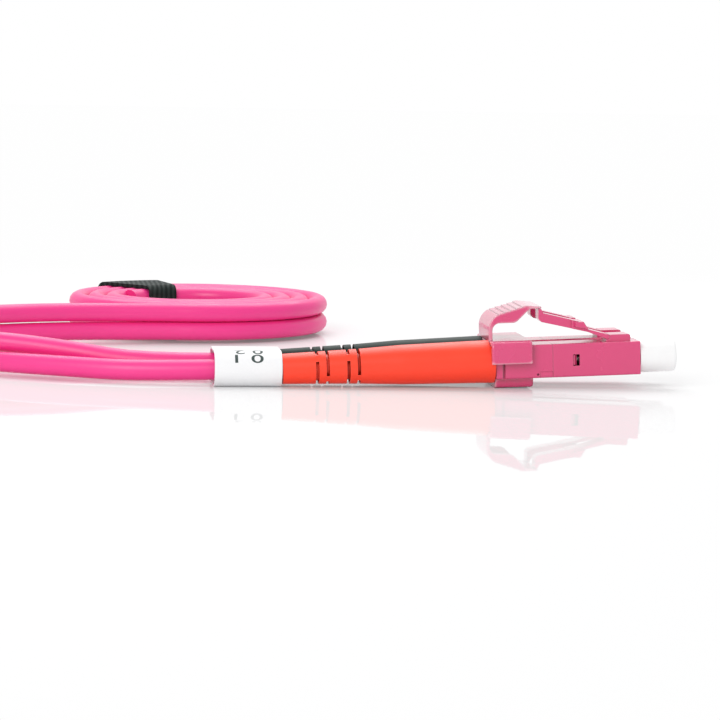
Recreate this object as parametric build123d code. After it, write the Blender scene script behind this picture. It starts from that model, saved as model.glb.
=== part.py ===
from build123d import *
import math
import os

# Duplex LC fibre connector with dust caps, on two cables wound up behind it, in millimetres.
# Every half is drawn along X with the plug's front face at x = 0 and the ferrule axis at z = 0.
# The connector is then tipped onto its clip and its label, as it comes to rest on a table.

# Plug housing
plug_pitch = 6.25
plug_wall = 0.46
plug_length = 12.0
plug_edge_round = 0.25
front_bore = 3.3
front_bore_depth = 4.4
shoulder_thickness = 0.6
window_from_front = 8.8
window_length = 0.9
window_height = 1.55

# Latch on top of each plug
latch_root_x = -4.4
latch_root_rise = 0.67
latch_root_radius = 0.33
latch_block_length = 3.3
latch_block_height = 0.95
latch_front_width = 3.2
latch_arm_width = 2.3
latch_arm_depth = 1.2
latch_arm_slope = 0.265
latch_web_length = 2.65
latch_web_rise = 0.77
latch_web_thickness = 0.36
latch_ear_x = -7.7
latch_ear_rise = 2.85
latch_ear_span = 4.2
latch_ear_length = 1.1
latch_ear_depth = 0.85
latch_ear_ramp = 0.45
latch_tail_overhang = 1.69
latch_tail_rise = 4.7
latch_tail_length = 0.4
latch_tail_ramp = 0.25

# Rear body that snaps into the plug
body_length = 7.75
nose_wall = 0.3
nose_lip = 0.08
tooth_length = 0.42
tooth_height = 0.3
fibre_bore = 1.6
collar_length = 0.9
groove_length = 0.34
groove_depth = 0.5
neck_diameter = 3.3
neck_length = 6.4
panel_length = 1.8
panel_height = 0.72
panel_margin = 0.12
panel_depth = 0.08
panel_hole = 0.3

# Ferrule, its holder and its spring
ferrule_diameter = 1.25
ferrule_length = 6.5
ferrule_stand_out = 1.5
ferrule_chamfer = 0.12
ferrule_travel = 0.8
hub_diameter = 2.0
hub_length = 1.6
flange_flats = 2.6
flange_thickness = 1.35
barrel_wall = 0.28
barrel_length = 4.5
spring_wire = 0.3
spring_clearance = 0.2
spring_turns = 5
buffer_diameter = 0.9

# Crimp sleeve and boot
crimp_diameter = 4.2
crimp_wall = 0.42
crimp_setback = 0.35
crimp_neck_gap = 0.25
crimp_tail_length = 1.3
boot_length = 28.55
boot_front_diameter = 5.8
boot_middle_diameter = 5.3
boot_taper_diameter = 4.7
boot_rear_diameter = 4.05
boot_middle_from_front = 12.5
boot_taper_from_front = 18.0
slot_width = 0.42
slot_floor = 0.12
slot_pair_from_rear = 4.63
slot_pair_step = 4.17
slot_gap = 1.4
bridge_low = 0.97
bridge_high = 1.75

# Clip that ties the two plugs together, and its trigger
clip_length = 5.5
clip_foot_reach = 0.45
clip_plate = 0.66
clip_wall = 0.6
clip_gap = 0.64
clip_flange_drop = 3.05
clip_bottom_thickness = 1.31
clip_bottom_width = 8.4
clip_round = 0.9
clip_rim_round = 0.22
clip_toe_round = 0.35
clip_overhang = 0.7
trigger_hinge_radius = 0.25
trigger_hinge_inset = 0.2
trigger_strip = 0.5
trigger_cheek = 0.75
trigger_shoulder_rise = 6.1
trigger_shoulder_round = 2.4
trigger_crest_reach = 2.1
trigger_crest_rise = 7.475
trigger_crest_round = 2.0
trigger_tip_thickness = 0.22
trigger_cheek_rise = 5.22
trigger_cheek_reach = 3.45
trigger_neck_reach = 1.56
trigger_inner_round = 1.0
trigger_skin = 0.4
grip_steps = 5
grip_step_length = 0.85
grip_step_depth = 0.14

# Dust cap, label and cable
cap_diameter = 4.4
cap_length = 5.0
cap_spigot_length = 2.6
cap_round = 0.3
label_length = 9.0
label_height = 4.8
label_wall = 0.25
label_slack = 0.4
cable_diameter = 2.8
cable_straight = 6.0

# Wound length of both cables, one flat ring on the other, and the strap round them
hank_middle_x = -29.0
hank_middle_y = 75.0
hank_inner_turn = 11.4
hank_turns = 4
strap_width = 8.0
strap_thickness = 0.5
strap_turn = 104.0

# Fits
sliding_clearance = 0.05
cable_clearance = 0.2
snug_clearance = 0.02
hinge_clearance = 0.03
trigger_clearance = 0.08

barrel_diameter = buffer_diameter + 2 * (snug_clearance + barrel_wall)
spring_diameter = barrel_diameter + spring_wire + 2 * spring_clearance
spring_pocket = spring_diameter + spring_wire + 2 * spring_clearance
nose_width = spring_pocket + 2 * nose_wall
cavity_width = nose_width + 2 * sliding_clearance
plug_width = cavity_width + 2 * plug_wall
plug_half = plug_width / 2
seam_x = -plug_length
body_rear_x = seam_x - body_length
shoulder_rear_x = -front_bore_depth - shoulder_thickness
flange_front_x = shoulder_rear_x - snug_clearance
flange_rear_x = flange_front_x - flange_thickness
spring_seat_x = seam_x - 0.7
neck_rear_x = body_rear_x - neck_length
crimp_front_x = body_rear_x - crimp_setback
crimp_tail_x = neck_rear_x - crimp_neck_gap
crimp_rear_x = crimp_tail_x - crimp_tail_length
cable_front_x = crimp_tail_x - snug_clearance
boot_front_x = body_rear_x - 0.1
boot_rear_x = boot_front_x - boot_length
label_front_x = boot_rear_x - 0.1
label_rear_x = label_front_x - label_length
clip_front_x = body_rear_x - clip_overhang + clip_length
clip_rear_x = clip_front_x - clip_length
clip_top = plug_half + hinge_clearance + clip_plate
clip_bottom = -plug_half - hinge_clearance - clip_bottom_thickness
clip_half_width = plug_pitch / 2 + plug_half + clip_gap + clip_wall
latch_root_z = plug_half + latch_root_rise
latch_tail_x = seam_x - latch_tail_overhang
trigger_hinge_x = clip_rear_x + trigger_hinge_inset
trigger_hinge_z = clip_top - hinge_clearance
trigger_width = plug_pitch + latch_arm_width


def rod(start, end, diameter):
    """A round bar along X from one x to another."""
    return Pos((start + end) / 2, 0, 0) * Rot(0, 90, 0) * Cylinder(diameter / 2, abs(end - start))


def bar(start, end, width, low, high):
    """A square bar along X, centred across, between two heights."""
    return Pos((start + end) / 2, 0, (low + high) / 2) * Box(abs(end - start), width, high - low)


def cross_rod(x, z, diameter, width):
    """A round bar across the part, along Y."""
    return Pos(x, 0, z) * Rot(90, 0, 0) * Cylinder(diameter / 2, width)


def plate(outline, width):
    """An outline in the XZ plane, as a list of (x, z), drawn out to both sides."""
    face = Plane.XZ * make_face(Polyline(*outline, close=True))
    return extrude(face, width / 2, both=True)


def turned(outline):
    """An outline of (x, radius) turned about the X axis."""
    face = make_face(Polyline(*outline, close=True))
    return revolve(face, Axis.X)


# One side's plug housing: square tube, stepped bore, two snap windows and the latch root
def make_plug_housing():
    shell = bar(seam_x, 0, plug_width, -plug_half, plug_half)
    shell = fillet(shell.edges().filter_by(Axis.X), plug_edge_round)
    shell = fillet(shell.faces().sort_by(Axis.X)[-1].edges(), plug_edge_round / 2)
    block_rear_x = latch_root_x - latch_root_radius / 2
    block = bar(block_rear_x, block_rear_x + latch_block_length, latch_front_width,
                plug_half - plug_edge_round, plug_half + latch_block_height)
    top_front = block.edges().filter_by(Axis.Y).sort_by(lambda e: e.center().X + e.center().Z)[-1]
    block = fillet(top_front, latch_block_height / 3)
    seat = 2 * (latch_root_radius + hinge_clearance)
    block -= cross_rod(latch_root_x, latch_root_z, seat, latch_front_width)
    block -= bar(block_rear_x, latch_root_x, latch_front_width, latch_root_z, plug_half + latch_block_height)
    shell += block
    shell -= rod(0, -front_bore_depth, front_bore)
    shell -= rod(0, shoulder_rear_x, hub_diameter + 2 * sliding_clearance)
    shell -= bar(shoulder_rear_x, seam_x, cavity_width, -cavity_width / 2, cavity_width / 2)
    window = Box(window_length, plug_width, window_height)
    return shell - Pos(-window_from_front, 0, 0) * fillet(window.edges().filter_by(Axis.Y), window_length / 8)


# Springy latch arm: thin web, two ears that catch in the socket, and a raised tail for the trigger
def make_latch():
    web_x = latch_root_x - latch_web_length
    web_top = latch_root_z + latch_root_radius + latch_web_rise
    ear_rear = latch_ear_x - latch_ear_length
    ear_top = plug_half + latch_ear_rise
    ear_low = ear_top - latch_ear_depth
    arm_front_top = ear_top - latch_ear_depth / 6
    tail_top = plug_half + latch_tail_rise
    tail_front = latch_tail_x + latch_tail_length
    step_x = tail_front + latch_tail_ramp
    step_top = arm_front_top + latch_arm_slope * (latch_ear_x - step_x)
    outline = [
        (latch_root_x, latch_root_z + latch_root_radius),
        (web_x, web_top),
        (latch_ear_x, arm_front_top),
        (step_x, step_top),
        (tail_front, tail_top),
        (latch_tail_x, tail_top),
        (latch_tail_x, step_top - latch_arm_depth + latch_tail_length),
        (tail_front, step_top - latch_arm_depth),
        (web_x, web_top - latch_web_thickness),
        (latch_root_x, latch_root_z - latch_root_radius),
    ]
    arm = plate(outline, latch_front_width)
    side_cut = (latch_front_width - latch_arm_width) / 2
    for side in (-1, 1):
        cut = bar(latch_tail_x - 1, ear_rear - latch_ear_ramp, side_cut, plug_half, tail_top + 1)
        arm -= Pos(0, side * (latch_arm_width + side_cut) / 2, 0) * cut
    ear_side = plate([
        (latch_ear_x, ear_top), (ear_rear - latch_ear_ramp, ear_top),
        (ear_rear - latch_ear_ramp, ear_low + latch_arm_slope * latch_ear_length),
        (latch_ear_x, ear_low), (web_x, web_top),
    ], latch_ear_span)
    half_span = latch_ear_span / 2
    half_arm = latch_arm_width / 2
    ear_plan = make_face(Polyline(
        (web_x, -half_span), (ear_rear, -half_span), (ear_rear - latch_ear_ramp, -half_arm),
        (ear_rear - latch_ear_ramp, half_arm), (ear_rear, half_span), (web_x, half_span), close=True))
    ears = ear_side & extrude(ear_plan, tail_top)
    root = cross_rod(latch_root_x, latch_root_z, 2 * latch_root_radius, latch_front_width)
    return arm + ears + root


# Rear body: square block with a snap nose in front and a crimp neck behind
def make_rear_body():
    body = bar(body_rear_x, seam_x - snug_clearance, plug_width, -plug_half, plug_half)
    body = fillet(body.edges().filter_by(Axis.X), plug_edge_round)
    groove_front = body_rear_x + collar_length + groove_length
    for side in (-1, 1):
        groove = bar(body_rear_x + collar_length, groove_front, groove_depth, -plug_half, plug_half)
        body -= Pos(0, side * (plug_half - groove_depth / 2), 0) * groove
        panel_low = -plug_half + panel_margin
        panel = bar(seam_x - panel_length, seam_x, panel_depth, panel_low, panel_low + panel_height)
        body -= Pos(0, side * (plug_half - panel_depth / 2), 0) * panel
        hole = Rot(90, 0, 0) * Cylinder(panel_hole / 2, groove_depth)
        hole = Pos(seam_x - panel_length - 0.9 * panel_hole, 0, panel_low + panel_height / 2) * hole
        body -= Pos(0, side * plug_half, 0) * hole
    tooth_rear = -window_from_front - window_length / 2 + sliding_clearance
    nose_front = tooth_rear + tooth_length + nose_lip
    body += bar(seam_x - snug_clearance, nose_front, nose_width, -nose_width / 2, nose_width / 2)
    tooth = plate([
        (tooth_rear, 0), (tooth_rear, tooth_height),
        (tooth_rear + tooth_length / 2, tooth_height), (tooth_rear + tooth_length, 0),
    ], window_height - 4 * sliding_clearance)
    for turn in (90, -90):
        body += Rot(turn, 0, 0) * Pos(0, 0, nose_width / 2) * tooth
    body += rod(body_rear_x, neck_rear_x, neck_diameter)
    body -= rod(nose_front, spring_seat_x, spring_pocket)
    return body - rod(nose_front, neck_rear_x, fibre_bore)


# Ceramic ferrule with a chamfered tip
def make_ferrule():
    pin = rod(ferrule_stand_out, ferrule_stand_out - ferrule_length, ferrule_diameter)
    return chamfer(pin.faces().sort_by(Axis.X)[-1].edges(), ferrule_chamfer)


# Metal holder pressed on the ferrule: hub, six-sided flange and barrel
def make_ferrule_holder():
    flange = extrude(Plane.YZ * RegularPolygon(flange_flats / 2, 6, major_radius=False), flange_thickness)
    holder = Pos(flange_rear_x, 0, 0) * flange
    holder += rod(flange_front_x, flange_front_x + hub_length, hub_diameter)
    holder += rod(flange_rear_x, flange_rear_x - barrel_length, barrel_diameter)
    holder -= rod(ferrule_stand_out - ferrule_length, flange_front_x + hub_length, ferrule_diameter)
    ferrule_rear_x = ferrule_stand_out - ferrule_length
    return holder - rod(flange_rear_x - barrel_length, ferrule_rear_x, buffer_diameter + 2 * snug_clearance)


# Coil spring between the holder's flange and the pocket's floor
def make_spring():
    length = flange_rear_x - spring_seat_x - spring_wire
    coil = Helix(length / spring_turns, length, spring_diameter / 2)
    wire = Plane(coil @ 0, z_dir=coil % 0) * RegularPolygon(spring_wire / 2, 6)
    return Pos(spring_seat_x + spring_wire / 2, 0, 0) * Rot(0, 90, 0) * sweep(wire, path=coil, is_frenet=True)


# Tight-buffered fibre from the ferrule to the cable's cut jacket
def make_buffered_fibre():
    return rod(ferrule_stand_out - ferrule_length, cable_front_x + ferrule_travel + 0.15, buffer_diameter)


# Crimp sleeve over the neck, drawn down onto the jacket behind it
def make_crimp_sleeve():
    inner = neck_diameter / 2 + snug_clearance
    tail_inner = cable_diameter / 2 + snug_clearance
    tail_outer = tail_inner + crimp_wall
    return turned([
        (crimp_front_x, inner), (crimp_front_x, crimp_diameter / 2), (crimp_tail_x, crimp_diameter / 2),
        (crimp_tail_x - crimp_tail_length / 4, tail_outer), (crimp_rear_x, tail_outer),
        (crimp_rear_x, tail_inner), (crimp_tail_x, tail_inner), (crimp_tail_x, inner),
    ])


# Bend-relief boot: tapered sleeve cut into rings by slots that leave two bridges each
def make_boot():
    sleeve_x = crimp_rear_x - 0.2
    sleeve = crimp_diameter / 2 + sliding_clearance
    cable = cable_diameter / 2 + cable_clearance
    boot = turned([
        (boot_front_x, sleeve), (boot_front_x, boot_front_diameter / 2),
        (boot_front_x - boot_middle_from_front, boot_middle_diameter / 2),
        (boot_front_x - boot_taper_from_front, boot_taper_diameter / 2),
        (boot_rear_x, boot_rear_diameter / 2), (boot_rear_x, cable), (sleeve_x, cable), (sleeve_x, sleeve),
    ])
    reach = boot_front_diameter
    for pair in range(2):
        lower_x = boot_rear_x + slot_pair_from_rear + pair * slot_pair_step
        upper_x = lower_x + slot_gap
        for x, side in ((lower_x, 1), (upper_x, -1)):
            ring = bar(x - slot_width / 2, x + slot_width / 2, reach, -reach / 2, reach / 2)
            ring -= rod(x - slot_width, x + slot_width, 2 * (cable + slot_floor))
            bridge = bar(x - slot_width, x + slot_width, reach, bridge_low, bridge_high)
            boot -= ring - (bridge if side > 0 else Rot(180, 0, 0) * bridge)
    flat = plug_half - hinge_clearance
    return boot - bar(clip_rear_x - hinge_clearance, boot_front_x + 1, reach, flat, reach)


# Dust cap: round head with a hollow spigot that slips over the ferrule into the plug
def make_dust_cap():
    head = rod(sliding_clearance, cap_length, cap_diameter)
    head = fillet(head.faces().sort_by(Axis.X)[-1].edges(), cap_round)
    cap = head + rod(sliding_clearance, -cap_spigot_length, front_bore - 4 * sliding_clearance)
    well = ferrule_diameter + 4 * sliding_clearance
    return cap - rod(-cap_spigot_length, ferrule_stand_out + ferrule_travel, well)


# Duplex clip: arched roof with side flanges, a wall between the plugs and a block under them
def make_duplex_clip():
    roof_low = plug_half + hinge_clearance
    clip = bar(clip_rear_x, clip_front_x, 2 * clip_half_width, clip_top - clip_flange_drop, clip_top)
    crowns = clip.edges().filter_by(Axis.X).sort_by(Axis.Z)[-2:]
    clip = fillet(crowns, clip_round)
    for end in (0, -1):
        rim = clip.faces().sort_by(Axis.X)[end].edges().sort_by(Axis.Z)[1:]
        clip = fillet(rim, clip_rim_round)
    inner_width = 2 * (clip_half_width - clip_wall)
    clip -= bar(clip_rear_x, clip_front_x, inner_width, clip_top - clip_flange_drop, roof_low)
    wall_width = plug_pitch - plug_width - 2 * snug_clearance
    clip += bar(body_rear_x, clip_front_x, wall_width, clip_bottom, roof_low)
    foot_front_x = clip_front_x + clip_foot_reach
    foot = bar(body_rear_x, foot_front_x, clip_bottom_width, clip_bottom, -plug_half - hinge_clearance)
    foot = fillet(foot.edges().filter_by(Axis.X).sort_by(Axis.Z)[:2], clip_bottom_thickness / 2)
    toe = foot.faces().sort_by(Axis.X)[-1].edges().sort_by(Axis.Z)[:3]
    clip += fillet(toe, clip_toe_round)
    rib_x = body_rear_x + collar_length + snug_clearance
    rib_width = wall_width + 2 * groove_depth
    clip += bar(rib_x, rib_x + groove_length - 2 * snug_clearance, rib_width, -plug_half, plug_half)
    seat = 2 * (trigger_hinge_radius + hinge_clearance)
    clip -= cross_rod(trigger_hinge_x, trigger_hinge_z, seat, trigger_width + 2 * hinge_clearance)
    return clip


# Trigger: bent strip with two cheeks under it and grip steps along its back
def make_trigger():
    rear_x = trigger_hinge_x - trigger_strip / 2
    inner_x = trigger_hinge_x + trigger_strip / 2
    tip_x = latch_tail_x + latch_tail_length
    crest_x = tip_x - trigger_crest_reach
    neck_x = tip_x - trigger_neck_reach
    tip_low = plug_half + latch_tail_rise + trigger_clearance
    corners = [
        (rear_x, trigger_hinge_z, 0),
        (rear_x, trigger_shoulder_rise, trigger_shoulder_round),
        (crest_x, trigger_crest_rise, trigger_crest_round),
        (tip_x, tip_low + trigger_tip_thickness, 0),
        (tip_x, tip_low, 0),
        (neck_x, tip_low, trigger_inner_round),
        (trigger_hinge_x + trigger_cheek_reach, trigger_cheek_rise, trigger_inner_round),
        (inner_x, trigger_cheek_rise, trigger_inner_round),
        (inner_x, trigger_hinge_z, 0),
    ]
    outline = make_face(Polyline(*[(x, z) for x, z, _ in corners], close=True))
    for x, z, radius in corners:
        if radius:
            corner = outline.vertices().sort_by_distance((x, z, 0))[0]
            outline = fillet(corner, radius)
    trigger = extrude(Plane.XZ * outline, trigger_width / 2, both=True)
    rise = trigger_crest_rise - trigger_shoulder_rise
    slope = math.degrees(math.atan2(rise, crest_x - rear_x))
    trigger -= plate([
        (inner_x, trigger_hinge_z), (inner_x, trigger_cheek_rise - trigger_inner_round),
        (inner_x + trigger_strip, trigger_cheek_rise),
        (inner_x + trigger_shoulder_round / 2, trigger_shoulder_rise - trigger_skin / 2),
        (crest_x, trigger_crest_rise - trigger_skin), (neck_x, tip_low), (neck_x, trigger_hinge_z),
    ], trigger_width - 2 * trigger_cheek)
    tooth = [(0, 0.02), (-grip_step_length, 0.02), (0, -grip_step_depth)]
    for step in range(grip_steps):
        along = (step + 0.5) * grip_step_length
        place = Pos(crest_x, 0, trigger_crest_rise) * Rot(0, -slope, 0) * Pos(-along, 0, 0)
        trigger -= place * plate(tooth, trigger_width)
    return trigger + cross_rod(trigger_hinge_x, trigger_hinge_z, 2 * trigger_hinge_radius, trigger_width)


# Paper label stuck round both cables behind the boots
def make_label():
    leg_reach = plug_pitch / 2 + cable_diameter / 2 + label_slack
    inner_height = label_height - 2 * label_wall
    outer = SlotOverall(2 * (leg_reach + label_wall), label_height)
    inner = SlotOverall(2 * leg_reach, inner_height)
    return extrude(Plane.YZ * (outer - inner), -label_length)


# The tipped connector stands on its clip's rear edge, and its boots end in the middle of the flat label
lie_drop = -clip_bottom - label_height / 2
lie_angle = math.degrees(math.atan2(lie_drop, body_rear_x - label_front_x))
lie_cos = math.cos(math.radians(lie_angle))
lie_sin = math.sin(math.radians(lie_angle))
middle_x = (cap_length + label_rear_x) / 2
lie_height = -clip_bottom * lie_cos - body_rear_x * lie_sin
lie = Pos(-middle_x * lie_cos, 0, lie_height) * Rot(0, -lie_angle, 0)


def on_table(x, y, z):
    """A point of the straight connector, where it lies on the table."""
    return (lie * Pos(x, y, z)).position


label_place = Pos(on_table(label_front_x, 0, 0).X, 0, label_height / 2)

# Cable routes: out of the boots, through the label, and back behind the connector to the winding
hank_outer_turn = hank_inner_turn + (hank_turns - 1) * cable_diameter
hank_near_y = hank_middle_y - hank_outer_turn
layer_a = strap_thickness + cable_diameter / 2
layer_b = layer_a + cable_diameter
route_a = [
    (-53.0, 4.0, 2.0), (-67.0, 13.5, layer_a), (-74.5, 28.0, layer_a),
    (-68.5, 44.5, layer_a), (-52.5, 54.0, layer_a), (-34.0, hank_near_y, layer_a),
]
lift_b = layer_b + 2 * sliding_clearance
route_b = [
    (-53.0, 8.5, 4.05), (-67.0, 13.5, lift_b), (-74.5, 28.0, lift_b),
    (-68.5, 44.5, lift_b), (-52.5, 54.0, lift_b), (-34.0, hank_near_y, layer_b),
]


def make_leg(side, route):
    """One cable leg as a plain tube of straight runs and tangent arcs."""
    y = side * plug_pitch / 2
    points = [on_table(cable_front_x, y, 0), on_table(label_rear_x - cable_straight, y, 0)]
    points += [Vector(*p) for p in route]
    runs = [b - a for a, b in zip(points, points[1:])]
    radii = []
    for before, after in zip(runs, runs[1:]):
        half_turn = math.radians(before.get_angle(after)) / 2
        radii.append(0.45 * min(before.length, after.length) / math.tan(half_turn))
    path = FilletPolyline(*points, radius=radii)
    tube = sweep(Plane(path @ 0, z_dir=path % 0) * Circle(cable_diameter / 2), path=path)
    print("leg radii", [round(r, 1) for r in radii], "length", round(path.length, 1))
    section = math.pi * cable_diameter**2 / 4
    print("leg volume over section times length", round(tube.volume / (section * path.length), 4))
    return tube


# The wound length of one cable: a flat ring one cable thick
hank_inner_radius = hank_inner_turn - cable_diameter / 2
hank_outer_radius = hank_outer_turn + cable_diameter / 2


def make_hank(layer):
    ring = extrude(Circle(hank_outer_radius) - Circle(hank_inner_radius), cable_diameter)
    ring = chamfer(ring.edges().filter_by(GeomType.CIRCLE), 0.3 * cable_diameter)
    return Pos(hank_middle_x, hank_middle_y, layer - cable_diameter / 2) * ring


# Hook-and-loop strap round both rings
def make_hank_strap():
    width = hank_outer_radius - hank_inner_radius + 2 * snug_clearance
    height = 2 * cable_diameter + 2 * snug_clearance
    outer = RectangleRounded(width + 2 * strap_thickness, height + 2 * strap_thickness, 3 * strap_thickness)
    section = outer - RectangleRounded(width, height, strap_thickness)
    turn_radius = (hank_outer_radius + hank_inner_radius) / 2
    face = Plane.XZ * Pos(turn_radius, strap_thickness + height / 2) * section
    band = revolve(face, Axis.Z, math.degrees(strap_width / turn_radius))
    return Pos(hank_middle_x, hank_middle_y, 0) * Rot(0, 0, strap_turn) * band


nodes = {
    "duplex_clip": lie * make_duplex_clip(),
    "trigger": lie * make_trigger(),
    "label": label_place * make_label(),
    "cable_leg_a": make_leg(-1, route_a),
    "cable_leg_b": make_leg(1, route_b),
    "cable_hank_a": make_hank(layer_a),
    "cable_hank_b": make_hank(layer_b),
    "hank_strap": make_hank_strap(),
}
halves = {
    "plug_housing": make_plug_housing(),
    "latch": make_latch(),
    "rear_body": make_rear_body(),
    "ferrule": make_ferrule(),
    "ferrule_holder": make_ferrule_holder(),
    "ferrule_spring": make_spring(),
    "buffered_fibre": make_buffered_fibre(),
    "crimp_sleeve": make_crimp_sleeve(),
    "boot": make_boot(),
    "dust_cap": make_dust_cap(),
}
for name, piece in halves.items():
    nodes[name + "_a"] = lie * Pos(0, -plug_pitch / 2, 0) * piece
    nodes[name + "_b"] = lie * Pos(0, plug_pitch / 2, 0) * piece

os.makedirs("parts", exist_ok=True)
for name, piece in nodes.items():
    export_step(piece, f"parts/{name}.step")
print("lie angle", round(lie_angle, 3), "lie height", round(lie_height, 4), "middle", round(middle_x, 3))
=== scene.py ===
import bmesh
import bpy
import math
from mathutils import Matrix, Vector


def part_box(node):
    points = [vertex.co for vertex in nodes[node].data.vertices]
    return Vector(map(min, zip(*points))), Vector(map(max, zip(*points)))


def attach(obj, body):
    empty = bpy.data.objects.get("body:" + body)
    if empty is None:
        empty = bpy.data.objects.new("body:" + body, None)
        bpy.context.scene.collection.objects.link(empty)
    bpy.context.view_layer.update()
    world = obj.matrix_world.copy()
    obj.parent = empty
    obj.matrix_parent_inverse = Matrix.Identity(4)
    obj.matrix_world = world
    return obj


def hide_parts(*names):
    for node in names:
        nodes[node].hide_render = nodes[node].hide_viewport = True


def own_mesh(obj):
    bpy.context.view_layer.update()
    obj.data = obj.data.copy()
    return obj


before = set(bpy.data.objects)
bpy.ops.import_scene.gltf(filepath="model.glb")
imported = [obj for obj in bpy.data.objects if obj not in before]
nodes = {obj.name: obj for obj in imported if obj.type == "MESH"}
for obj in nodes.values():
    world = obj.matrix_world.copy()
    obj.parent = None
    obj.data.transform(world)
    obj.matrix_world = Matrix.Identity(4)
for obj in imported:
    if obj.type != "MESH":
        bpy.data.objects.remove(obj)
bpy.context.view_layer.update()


# Ferrules
# White zirconia pins, ground and polished to a mirror on the tip.
# Each is pressed into its metal holder and holds the fibre in its middle.
def dress(piece_names, material):
    """Gives the finish to the pieces that are carried over as they are."""
    for piece_name in piece_names:
        slots = nodes[piece_name].data.materials
        slots.clear()
        slots.append(material)


def new_finish(name, colour, roughness):
    """A material with its node tree, its shader and the coordinates of its piece."""
    material = bpy.data.materials.new(name)
    material.use_nodes = True
    tree = material.node_tree
    shader = tree.nodes["Principled BSDF"]
    shader.inputs["Base Color"].default_value = (*colour, 1)
    shader.inputs["Roughness"].default_value = roughness
    place = tree.nodes.new("ShaderNodeTexCoord")
    return material, tree, shader, place.outputs["Object"]


def speckle(tree, place, grains_per_metre, detail=3):
    """A fine irregular pattern, from 0 to 1."""
    noise = tree.nodes.new("ShaderNodeTexNoise")
    noise.inputs["Scale"].default_value = grains_per_metre
    noise.inputs["Detail"].default_value = detail
    tree.links.new(place, noise.inputs["Vector"])
    return noise.outputs["Fac"]


def spread(tree, value, low, high):
    """A pattern's middle part, from 0.3 to 0.7, stretched between two values."""
    stretch = tree.nodes.new("ShaderNodeMapRange")
    stretch.inputs["From Min"].default_value = 0.3
    stretch.inputs["From Max"].default_value = 0.7
    stretch.inputs["To Min"].default_value = low
    stretch.inputs["To Max"].default_value = high
    tree.links.new(value, stretch.inputs["Value"])
    return stretch.outputs["Result"]


def tint(tree, share, dark, light):
    """A colour between two, by a share from 0 to 1."""
    mix = tree.nodes.new("ShaderNodeMix")
    mix.data_type = "RGBA"
    mix.inputs["A"].default_value = (*dark, 1)
    mix.inputs["B"].default_value = (*light, 1)
    tree.links.new(share, mix.inputs["Factor"])
    return mix.outputs["Result"]


def raise_surface(tree, shader, height, depth, strength, edge=None):
    """Bumps of a real depth in metres, over edges that may be rounded off."""
    bump = tree.nodes.new("ShaderNodeBump")
    bump.inputs["Distance"].default_value = depth
    bump.inputs["Strength"].default_value = strength
    tree.links.new(height, bump.inputs["Height"])
    if edge:
        tree.links.new(edge, bump.inputs["Normal"])
    tree.links.new(bump.outputs["Normal"], shader.inputs["Normal"])


ceramic_white = (0.93, 0.92, 0.88)
ceramic_dark = (0.90, 0.89, 0.85)
ceramic_light = (0.95, 0.94, 0.91)


def polished_ceramic():
    """Fine white ceramic with the faintest grain."""
    material, tree, shader, place = new_finish("polished_ceramic", ceramic_white, roughness=0.08)
    grain = speckle(tree, place, grains_per_metre=3000)
    tree.links.new(tint(tree, grain, ceramic_dark, ceramic_light), shader.inputs["Base Color"])
    tree.links.new(spread(tree, grain, 0.05, 0.14), shader.inputs["Roughness"])
    raise_surface(tree, shader, grain, depth=0.000004, strength=0.1)
    return material


dress(["ferrule_a", "ferrule_b"], polished_ceramic())


# Ferrule holders and crimp sleeves
# Holders are turned from nickel-plated metal, with a six-sided flange that sits in the plug.
# The crimp sleeves are soft metal tubes pressed round the rear body's neck and the cable's jacket.
def turned_metal(name, colour, roughness, lines_per_metre):
    """Bare metal with fine lines round it, close together along the piece and long across it."""
    across_per_metre = 300
    material, tree, shader, place = new_finish(name, colour, roughness)
    shader.inputs["Metallic"].default_value = 1
    squeeze = tree.nodes.new("ShaderNodeMapping")
    squeeze.inputs["Scale"].default_value = (lines_per_metre, across_per_metre, across_per_metre)
    tree.links.new(place, squeeze.inputs["Vector"])
    lines = speckle(tree, squeeze.outputs["Vector"], grains_per_metre=1, detail=2)
    tree.links.new(spread(tree, lines, roughness - 0.08, roughness + 0.12), shader.inputs["Roughness"])
    raise_surface(tree, shader, lines, depth=0.00001, strength=0.2)
    return material


nickel_grey = (0.62, 0.60, 0.56)
sleeve_grey = (0.72, 0.72, 0.71)
dress(["ferrule_holder_a", "ferrule_holder_b"],
      turned_metal("nickel_plate", nickel_grey, roughness=0.28, lines_per_metre=9000))
dress(["crimp_sleeve_a", "crimp_sleeve_b"],
      turned_metal("crimped_tube", sleeve_grey, roughness=0.34, lines_per_metre=2500))


# Ferrule springs
# Bright round wire wound in five turns, from the pocket's floor in the rear body to the holder's flange.
# Each lets its ferrule give way by 0.8 mm; here it is wound at one fixed length.
lie_turn = math.radians(2.39)
lie_height = 0.0044205
plug_middle = -0.02625
plug_y = 0.003125
spring_wire = 0.0003
spring_diameter = 0.0022
spring_turns = 5
spring_seat = -0.0127
spring_length = 0.00633
wire_grey = (0.56, 0.56, 0.57)


def on_table(along, y, rise=0):
    """A point drawn along a ferrule's axis, where it is with the connector lying on the table."""
    x = (along - plug_middle) * math.cos(lie_turn) - rise * math.sin(lie_turn)
    return (x, y, lie_height + along * math.sin(lie_turn) + rise * math.cos(lie_turn))


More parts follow.
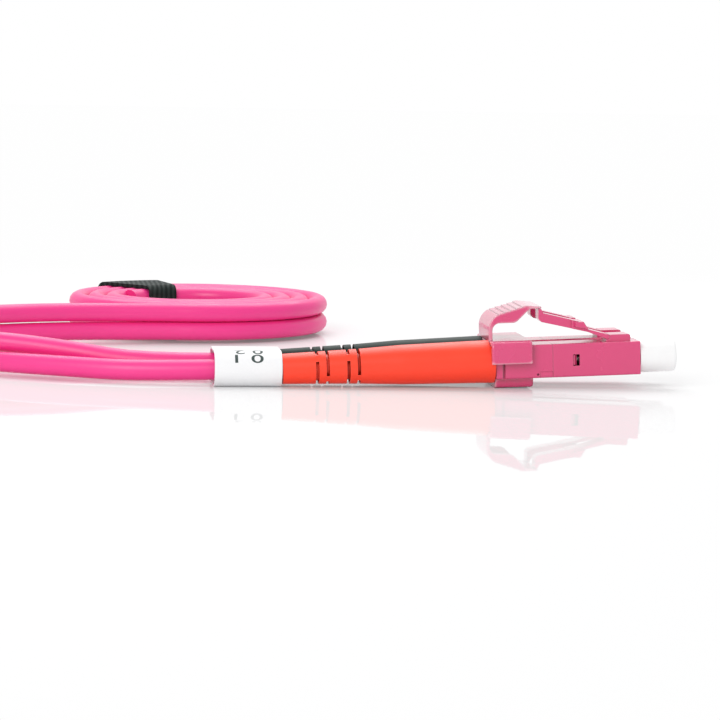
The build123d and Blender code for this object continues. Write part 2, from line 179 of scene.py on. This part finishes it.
def wind_spring(name, y, node):
    """One spring as a round wire along its helix."""
    turn_steps = 24
    corners = 8
    steps = spring_turns * turn_steps
    points = []
    faces = [tuple(reversed(range(corners)))]
    for step in range(steps + 1):
        turn = 2 * math.pi * step / turn_steps
        along = spring_seat + spring_wire / 2 + (spring_length - spring_wire) * step / steps
        for corner in range(corners):
            angle = 2 * math.pi * corner / corners
            radius = spring_diameter / 2 + spring_wire / 2 * math.cos(angle)
            ahead = along + spring_wire / 2 * math.sin(angle)
            points.append(on_table(ahead, y + radius * math.sin(turn), radius * math.cos(turn)))
    for step in range(steps):
        for corner in range(corners):
            first = step * corners + corner
            second = step * corners + (corner + 1) % corners
            faces.append((first, second, second + corners, first + corners))
    faces.append(tuple(steps * corners + corner for corner in range(corners)))
    mesh = bpy.data.meshes.new(name)
    mesh.from_pydata(points, [], faces)
    mesh.shade_smooth()
    mesh.materials.append(bright_wire)
    spring = bpy.data.objects.new(name, mesh)
    bpy.context.scene.collection.objects.link(spring)
    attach(spring, "connector")
    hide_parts(node)
    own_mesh(spring)


bright_wire = turned_metal("bright_wire", wire_grey, roughness=0.25, lines_per_metre=4000)
wind_spring("spring_a", -plug_y, "ferrule_spring_a")
wind_spring("spring_b", plug_y, "ferrule_spring_b")


# Buffered fibres
# Glass fibre in a tight yellow plastic coat, cut back from the cable and glued into the ferrule.
# It runs on through the spring and the rear body to the cable's end.
def nearness(tree, reach, inside, low, high, own_faces=False):
    """From 0 to 1 as other faces come near: outside in slots and seams, inside the solid at its edges."""
    near = tree.nodes.new("ShaderNodeAmbientOcclusion")
    near.samples = 8
    near.inside = inside
    near.only_local = own_faces
    near.inputs["Distance"].default_value = reach
    share = tree.nodes.new("ShaderNodeMapRange")
    share.inputs["From Min"].default_value = high
    share.inputs["From Max"].default_value = low
    tree.links.new(near.outputs["AO"], share.inputs["Value"])
    return share.outputs["Result"]


def blend_colours(tree, share, first, second):
    """A colour between two patterns' colours, by a share from 0 to 1."""
    mix = tree.nodes.new("ShaderNodeMix")
    mix.data_type = "RGBA"
    tree.links.new(share, mix.inputs["Factor"])
    tree.links.new(first, mix.inputs["A"])
    tree.links.new(second, mix.inputs["B"])
    return mix.outputs["Result"]


def darken(colour, share):
    """The colour with only a share of its light left."""
    return [channel * share for channel in colour]


def whiten(colour, share):
    """The colour, mixed with white by the share."""
    return [channel + (1 - channel) * share for channel in colour]


def satin_plastic(name, colour, roughness, grains_per_metre, grain_depth, edge_radius,
                  edge_wear_and_highlight=0.2, coat=0, shine=0.5, crevice_shade_reach=0.0004, crevice_shade_own_faces=False):
    """Moulded plastic: a faint cloud in the colour and a fine grain, painted shade in slots and seams, and
    edges painted paler, partly as rubbing wear and partly as a painted highlight.
    """
    material, tree, shader, place = new_finish(name, colour, roughness)
    shader.inputs["Coat Weight"].default_value = coat
    shader.inputs["Coat Roughness"].default_value = 0.12
    cloud = speckle(tree, place, grains_per_metre=220, detail=4)
    grain = speckle(tree, place, grains_per_metre, detail=2)
    face = tint(tree, cloud, darken(colour, 0.93), colour)
    # Painted shade: slots, seams and recesses take a darkened copy of the colour.
    painted_crevice_shade = tint(tree, cloud, darken(colour, 0.25), darken(colour, 0.35))
    # Paler edges: partly rubbing wear, partly a painted highlight along rounded edges.
    edge_wear_and_highlight_colour = tint(tree, cloud, whiten(colour, 0.3), whiten(colour, 0.4))
    edges = nearness(tree, 2 * edge_radius, inside=True, low=0.45, high=0.8)
    slots = nearness(tree, crevice_shade_reach, inside=False, low=0.1, high=0.6, own_faces=crevice_shade_own_faces)
    face_with_edge_wear_and_highlight = blend_colours(tree, spread(tree, edges, 0, edge_wear_and_highlight), face, edge_wear_and_highlight_colour)
    tree.links.new(blend_colours(tree, slots, face_with_edge_wear_and_highlight, painted_crevice_shade), shader.inputs["Base Color"])
    # The painted shade also dims the reflection in slots and seams.
    tree.links.new(spread(tree, slots, shine, 0), shader.inputs["Specular IOR Level"])
    rounded = tree.nodes.new("ShaderNodeBevel")
    rounded.samples = 6
    rounded.inputs["Radius"].default_value = edge_radius
    tree.links.new(spread(tree, cloud, roughness - 0.06, roughness + 0.08), shader.inputs["Roughness"])
    tree.links.new(rounded.outputs["Normal"], shader.inputs["Coat Normal"])
    raise_surface(tree, shader, grain, grain_depth, 0.35, rounded.outputs["Normal"])
    return material


coat_yellow = (0.85, 0.60, 0.10)
fibre_coat = satin_plastic("fibre_coat", coat_yellow, roughness=0.4, grains_per_metre=5000,
                           grain_depth=0.00001, edge_radius=0.00004)
dress(["buffered_fibre_a", "buffered_fibre_b"], fibre_coat)


# Plug housings, rear bodies and latches
# Each plug is moulded in one shot with its springy latch arm; the rear body snaps into it
# from behind with a tooth in each side window. All are magenta-pink satin plastic.
magenta_pink = (0.68, 0.045, 0.175)
# Slots, seams and side windows get painted shade, and edges are a little paler from wear and a painted
# highlight.
pink_plastic = satin_plastic("pink_plastic", magenta_pink, roughness=0.22, grains_per_metre=9000,
                             grain_depth=0.000006, edge_radius=0.00014, edge_wear_and_highlight=0.12, coat=0.6)
dress(["plug_housing_a", "plug_housing_b", "rear_body_a", "rear_body_b", "latch_a", "latch_b"], pink_plastic)


# Clip and trigger
# The clip ties both plugs together; its trigger is a bent strip moulded with it,
# whose tip lies over both latch tails so that one press frees both plugs.
# The strong paler edges on the clip are mostly a painted highlight along its rounded rims.
clip_plastic = satin_plastic("clip_plastic", magenta_pink, roughness=0.24, grains_per_metre=9000,
                             grain_depth=0.000006, edge_radius=0.00026, edge_wear_and_highlight=0.9, coat=0.7)
dress(["duplex_clip", "trigger"], clip_plastic)


# Boots
# Soft moulded sleeves with ring slots, pushed over the crimp sleeves. The colours, orange-red
# and black, tell the two fibres apart.
orange_red = (0.98, 0.048, 0.012)
boot_black = (0.002, 0.013, 0.009)
# The ring slots get painted shade: their walls take a darkened copy of the boot's colour.
ring_slot_shade_reach = 0.0012
orange_boot = satin_plastic("orange_boot", orange_red, roughness=0.36, grains_per_metre=7000,
                            grain_depth=0.00001, edge_radius=0.00008, edge_wear_and_highlight=0.05,
                            crevice_shade_reach=ring_slot_shade_reach, crevice_shade_own_faces=True)
black_boot = satin_plastic("black_boot", boot_black, roughness=0.42, grains_per_metre=7000,
                           grain_depth=0.00001, edge_radius=0.00008, edge_wear_and_highlight=0.05, shine=0.14,
                           crevice_shade_reach=ring_slot_shade_reach, crevice_shade_own_faces=True)
dress(["boot_a"], orange_boot)
dress(["boot_b"], black_boot)


# Dust caps
# White moulded plugs that slip over the ferrules and keep dirt off the polished tips.
# Each holds by a spigot inside the plug's front, and is pulled straight off before use.
cap_white = (0.90, 0.90, 0.90)
white_cap = satin_plastic("white_cap", cap_white, roughness=0.32, grains_per_metre=6000,
                          grain_depth=0.00001, edge_radius=0.0001)
dress(["dust_cap_a", "dust_cap_b"], white_cap)


# Cables
# Two round cables with a hot-pink extruded jacket, each from its crimp sleeve through boot and label.
# The rest of each half metre is wound in a flat ring behind the connector, one cable on the other.
jacket_pink = (0.87, 0.036, 0.26)
cable_diameter = 0.0028
ring_middle = (-0.029, 0.075)
outer_turn = 0.0198
full_turns = 3
points_per_turn = 18
last_points = 13


def jacket_finish():
    """Extruded plastic with a faint cloud in its colour and a fine grain."""
    material, tree, shader, place = new_finish("cable_jacket", jacket_pink, roughness=0.38)
    cloud = speckle(tree, place, grains_per_metre=160)
    grain = speckle(tree, place, grains_per_metre=5000, detail=2)
    tree.links.new(tint(tree, cloud, darken(jacket_pink, 0.92), jacket_pink), shader.inputs["Base Color"])
    tree.links.new(spread(tree, cloud, 0.32, 0.46), shader.inputs["Roughness"])
    raise_surface(tree, shader, grain, depth=0.000012, strength=0.3)
    return material


def wound_length(height):
    """Control points of the flat ring, which steps inward by one cable in each full turn's second half."""
    reach = 1 / math.cos(math.pi / points_per_turn)
    points = []
    for step in range(full_turns * points_per_turn + last_points):
        turn = step / points_per_turn
        done, begun = divmod(turn, 1)
        inward = min(full_turns, done + max(0, 2 * begun - 1))
        radius = (outer_turn - inward * cable_diameter) * reach
        angle = 2 * math.pi * turn - math.pi / 2
        across = radius * math.cos(angle)
        points.append((ring_middle[0] + across, ring_middle[1] + radius * math.sin(angle), height))
    return points


def lay_cable(name, route, height, leg_node, hank_node):
    """One cable as a smooth round tube along its route and its winding."""
    points = route + wound_length(height)
    curve = bpy.data.curves.new(name, "CURVE")
    curve.dimensions = "3D"
    curve.bevel_depth = cable_diameter / 2
    curve.bevel_resolution = 5
    curve.resolution_u = 8
    curve.use_fill_caps = True
    line = curve.splines.new("NURBS")
    line.points.add(len(points) - 1)
    for control, point in zip(line.points, points):
        control.co = (*point, 1)
    line.order_u = 3
    line.use_endpoint_u = True
    cable = bpy.data.objects.new(name, curve)
    bpy.context.scene.collection.objects.link(cable)
    curve.materials.append(jacket)
    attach(cable, "connector")
    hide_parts(leg_node, hank_node)
    return cable


jacket = jacket_finish()
jacket_end = -0.02642
bend_start = -0.0635
layer_a = 0.0019
layer_b = 0.0047
lift_b = 0.0048
ring_near_y = ring_middle[1] - outer_turn
route_a = [
    on_table(jacket_end, -plug_y), on_table(bend_start, -plug_y),
    (-0.053, 0.0040, 0.0020), (-0.067, 0.0135, layer_a), (-0.0745, 0.0280, layer_a),
    (-0.0685, 0.0445, layer_a), (-0.0525, 0.0540, layer_a), (-0.034, ring_near_y, layer_a),
]
route_b = [
    on_table(jacket_end, plug_y), on_table(bend_start, plug_y),
    (-0.053, 0.0085, 0.00405), (-0.067, 0.0135, lift_b), (-0.0745, 0.0280, lift_b),
    (-0.0685, 0.0445, lift_b), (-0.0525, 0.0540, lift_b), (-0.034, ring_near_y, layer_b),
]
cable_a = lay_cable("cable_a", route_a, layer_a, "cable_leg_a", "cable_hank_a")
cable_b = lay_cable("cable_b", route_b, layer_b, "cable_leg_b", "cable_hank_b")


# Label
# A paper strip stuck once round both cables behind the boots, and closed on itself.
# It is printed flat before it is wrapped, here with plain numerals for the two fibres.
paper_white = (0.84, 0.84, 0.85)
paper_dark = (0.81, 0.81, 0.82)
paper_light = (0.86, 0.86, 0.87)


def label_paper():
    """Matt paper with fine fibres in it."""
    material, tree, shader, place = new_finish("label_paper", paper_white, roughness=0.5)
    fibres = speckle(tree, place, grains_per_metre=3500, detail=5)
    tree.links.new(tint(tree, fibres, paper_dark, paper_light), shader.inputs["Base Color"])
    tree.links.new(spread(tree, fibres, 0.42, 0.58), shader.inputs["Roughness"])
    raise_surface(tree, shader, fibres, depth=0.00001, strength=0.25)
    return material


dress(["label"], label_paper())
label_low, label_high = (Vector(corner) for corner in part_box("label"))
label_round = (label_high.z - label_low.z) / 2
ink_black = (0.02, 0.04, 0.037)
ink_dark = (0.012, 0.028, 0.026)
ink_light = (0.05, 0.075, 0.07)
ink_depth = 0.00002
ink_swell = 0.006
row_width = 0.0038
row_height = 0.0013
row_from_front = 0.0044
row_strips = 12


def printed_ink():
    """Dark ink that has run a little into the paper."""
    material, tree, shader, place = new_finish("printed_ink", ink_black, roughness=0.6)
    blot = speckle(tree, place, grains_per_metre=6000)
    tree.links.new(tint(tree, blot, ink_dark, ink_light), shader.inputs["Base Color"])
    tree.links.new(spread(tree, blot, 0.5, 0.7), shader.inputs["Roughness"])
    raise_surface(tree, shader, blot, depth=0.000005, strength=0.2)
    return material


def print_row(name, numerals, start_angle):
    """One row of numerals, read from behind, cut into strips and wrapped on the label's near shoulder."""
    text = bpy.data.curves.new(name, "FONT")
    text.body = numerals
    text.offset = ink_swell
    stencil = bpy.data.objects.new(name + "_stencil", text)
    mesh = bpy.data.meshes.new_from_object(stencil)
    left = min(v.co.x for v in mesh.vertices)
    right = max(v.co.x for v in mesh.vertices)
    top = max(v.co.y for v in mesh.vertices)
    strokes = bmesh.new()
    strokes.from_mesh(mesh)
    for cut in range(1, row_strips):
        parts = strokes.verts[:] + strokes.edges[:] + strokes.faces[:]
        cut_height = top * cut / row_strips
        bmesh.ops.bisect_plane(strokes, geom=parts, plane_co=(0, cut_height, 0), plane_no=(0, 1, 0))
    strokes.to_mesh(mesh)
    strokes.free()
    middle_x = label_high.x - row_from_front
    reach = label_round + ink_depth
    for v in mesh.vertices:
        along = (v.co.x - left) / (right - left) - 0.5
        angle = start_angle - v.co.y / top * row_height / label_round
        v.co = (middle_x - along * row_width, label_low.y + label_round - reach * math.cos(angle),
                label_low.z + label_round + reach * math.sin(angle))
    row = bpy.data.objects.new(name, mesh)
    bpy.context.scene.collection.objects.link(row)
    bpy.data.objects.remove(stencil)
    mesh.materials.clear()
    mesh.materials.append(ink)
    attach(row, "connector")


ink = printed_ink()
print_row("numerals_low", "0 1", math.radians(55))
print_row("numerals_high", "0 2", math.radians(90))


# Hook-and-loop strap
# Black woven tape with loops on one face and hooks on the other,
# wrapped once round the ring of cable and pressed onto itself.
tape_black = (0.01, 0.016, 0.014)
tape_dark = (0.004, 0.009, 0.008)
tape_light = (0.014, 0.024, 0.021)


def woven_tape():
    """Dull tape with a row of ribs across it."""
    material, tree, shader, place = new_finish("woven_tape", tape_black, roughness=0.85)
    shader.inputs["Sheen Weight"].default_value = 0.05
    shader.inputs["Specular IOR Level"].default_value = 0.2
    wave = tree.nodes.new("ShaderNodeTexWave")
    wave.inputs["Scale"].default_value = 400
    wave.inputs["Distortion"].default_value = 2
    tree.links.new(place, wave.inputs["Vector"])
    ribs = wave.outputs["Fac"]
    tree.links.new(tint(tree, ribs, tape_dark, tape_light), shader.inputs["Base Color"])
    tree.links.new(spread(tree, ribs, 0.9, 0.7), shader.inputs["Roughness"])
    raise_surface(tree, shader, ribs, depth=0.00008, strength=0.5)
    return material


dress(["hank_strap"], woven_tape())


# Floor, light and camera
# A glossy white table that fades into a white background, a broad lamp overhead and soft
# light all round, and the photograph's low view from the side, a little from behind.
table_half = 2.0
table_white = (0.87, 0.87, 0.875)
gloss_share = 0.28
gloss_roughness = 0.012
glow_strength = 1.07
glow_near = 0.2
glow_starts = 0.09
glow_full = 0.22


def combine(tree, operation, first, second):
    """Two values made into one."""
    both = tree.nodes.new("ShaderNodeMath")
    both.operation = operation
    tree.links.new(first, both.inputs[0])
    tree.links.new(second, both.inputs[1])
    return both.outputs["Value"]


def looked_at(tree, rays):
    """1 where the eye or a mirror looks, and 0 for the light that falls on things."""
    return combine(tree, "MAXIMUM", rays.outputs["Is Camera Ray"], rays.outputs["Is Glossy Ray"])


def table_finish():
    """A matt white that glows more and more away from the connector, under a thin gloss."""
    material = bpy.data.materials.new("white_table")
    material.use_nodes = True
    tree = material.node_tree
    tree.nodes.remove(tree.nodes["Principled BSDF"])
    matt = tree.nodes.new("ShaderNodeBsdfDiffuse")
    matt.inputs["Color"].default_value = (*table_white, 1)
    glow = tree.nodes.new("ShaderNodeEmission")
    glow.inputs["Strength"].default_value = glow_strength
    place = tree.nodes.new("ShaderNodeTexCoord")
    distance = tree.nodes.new("ShaderNodeVectorMath")
    distance.operation = "LENGTH"
    tree.links.new(place.outputs["Object"], distance.inputs[0])
    fade = tree.nodes.new("ShaderNodeMapRange")
    fade.inputs["From Min"].default_value = glow_starts
    fade.inputs["From Max"].default_value = glow_full
    fade.inputs["To Min"].default_value = glow_near
    tree.links.new(distance.outputs["Value"], fade.inputs["Value"])
    seen = looked_at(tree, tree.nodes.new("ShaderNodeLightPath"))
    white = tree.nodes.new("ShaderNodeMixShader")
    tree.links.new(combine(tree, "MULTIPLY", seen, fade.outputs["Result"]), white.inputs["Fac"])
    tree.links.new(matt.outputs["BSDF"], white.inputs[1])
    tree.links.new(glow.outputs["Emission"], white.inputs[2])
    gloss = tree.nodes.new("ShaderNodeBsdfGlossy")
    gloss.inputs["Roughness"].default_value = gloss_roughness
    top = tree.nodes.new("ShaderNodeMixShader")
    top.inputs["Fac"].default_value = gloss_share
    tree.links.new(white.outputs["Shader"], top.inputs[1])
    tree.links.new(gloss.outputs["BSDF"], top.inputs[2])
    tree.links.new(top.outputs["Shader"], tree.nodes["Material Output"].inputs["Surface"])
    return material


table_mesh = bpy.data.meshes.new("table")
table_mesh.from_pydata(
    [(-table_half, -table_half, 0), (table_half, -table_half, 0),
     (table_half, table_half, 0), (-table_half, table_half, 0)], [], [(0, 1, 2, 3)])
table = bpy.data.objects.new("table", table_mesh)
bpy.context.scene.collection.objects.link(table)
table_mesh.materials.append(table_finish())

scene = bpy.context.scene
world = bpy.data.worlds.new("soft_room")
scene.world = world
world.use_nodes = True
room = world.node_tree
room_light = 0.58
room_white = 1.0
sky = room.nodes["Background"]
sky.inputs["Color"].default_value = (1, 1, 1, 1)
rays = room.nodes.new("ShaderNodeLightPath")
seen = combine(room, "MAXIMUM", looked_at(room, rays), rays.outputs["Is Transmission Ray"])
level = room.nodes.new("ShaderNodeMapRange")
level.inputs["To Min"].default_value = room_light
level.inputs["To Max"].default_value = room_white
room.links.new(seen, level.inputs["Value"])
room.links.new(level.outputs["Result"], sky.inputs["Strength"])


def soft_lamp(name, place, width, power):
    """A square soft lamp that looks at the middle of the connector."""
    light = bpy.data.lights.new(name, "AREA")
    light.size = width
    light.energy = power
    lamp = bpy.data.objects.new(name, light)
    lamp.location = place
    lamp.rotation_euler = (-Vector(place)).to_track_quat("-Z", "Y").to_euler()
    scene.collection.objects.link(lamp)


soft_lamp("overhead_lamp", place=(0.05, 0.38, 0.60), width=0.7, power=3.8)
soft_lamp("front_lamp", place=(-0.35, -0.55, 0.35), width=0.4, power=2.5)

scene.view_settings.view_transform = "Standard"
camera_place = Vector((-0.05882, -0.39352, 0.04435))
look = Vector((0.11936, 0.98750, -0.10291)).normalized()
roll = math.radians(1.031)
level_right = look.cross(Vector((0, 0, 1))).normalized()
level_up = level_right.cross(look)
right = math.cos(roll) * level_right + math.sin(roll) * level_up
up = math.cos(roll) * level_up - math.sin(roll) * level_right
lens = bpy.data.cameras.new("camera")
lens.sensor_width = 36
lens.lens = 147.4
lens.clip_start = 0.01
camera = bpy.data.objects.new("camera", lens)
camera.matrix_world = Matrix.Translation(camera_place) @ Matrix((right, up, -look)).transposed().to_4x4()
scene.collection.objects.link(camera)
scene.camera = camera
